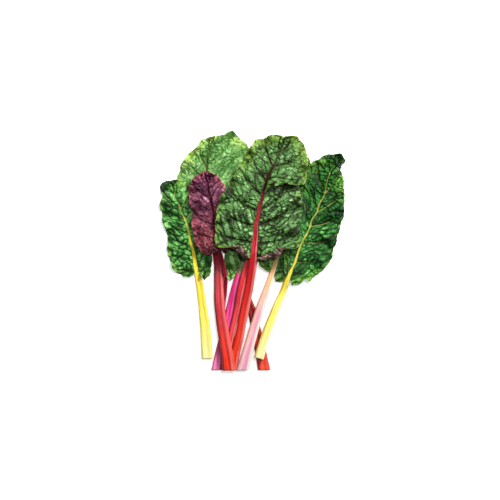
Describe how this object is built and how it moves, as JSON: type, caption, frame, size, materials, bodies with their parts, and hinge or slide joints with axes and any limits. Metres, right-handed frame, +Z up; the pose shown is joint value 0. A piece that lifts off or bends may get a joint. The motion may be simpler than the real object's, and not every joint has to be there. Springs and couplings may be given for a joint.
{
  "type": "swiss chard bunch",
  "caption": "Loose bunch of rainbow chard lying flat: crinkled green and purple leaf blades that fan out from long coloured stalks.",
  "frame": {"origin": "on the surface that the bunch lies on, under the middle of its box", "axes": "+Y from the cut stalks to the leaf tips, +X to the right as seen from above, +Z up from the surface"},
  "size_m": [0.2772, 0.3566, 0.0466],
  "materials": {
    "dark_red_stalk": "waxy, juicy leaf stalk, dark red with a lighter cut end",
    "magenta_stalk": "waxy leaf stalk, magenta to pink",
    "crimson_stalk": "waxy leaf stalk, crimson",
    "pink_stalk": "waxy leaf stalk, peach to pale pink with a pink streak",
    "red_stalk": "waxy leaf stalk, coral red to orange red",
    "yellow_stalk": "waxy leaf stalk, yellow, paler at the cut end",
    "purple_stalk": "waxy slim leaf stalk, dark crimson",
    "ruby_stalk": "waxy leaf stalk, ruby red to coral",
    "green_blade": "satin crinkled leaf, dark green with pale veins",
    "light_green_blade": "satin crinkled leaf, light green with yellow green margins",
    "purple_blade": "satin crinkled leaf, maroon"
  },
  "bodies": {
    "root": {"dark_red_stalk": "dark_red_stalk", "dark_red_blade": "green_blade", "magenta_stalk": "magenta_stalk", "magenta_blade": "green_blade", "crimson_stalk": "crimson_stalk", "crimson_blade": "green_blade", "pink_stalk": "pink_stalk", "pink_blade": "green_blade", "red_stalk": "red_stalk", "red_blade": "light_green_blade", "yellow_left_stalk": "yellow_stalk", "yellow_left_blade": "green_blade", "purple_stalk": "purple_stalk", "purple_blade": "purple_blade", "yellow_right_stalk": "yellow_stalk", "yellow_right_blade": "green_blade", "centre_stalk": "ruby_stalk", "centre_blade": "green_blade"}
  },
  "joints": []
}
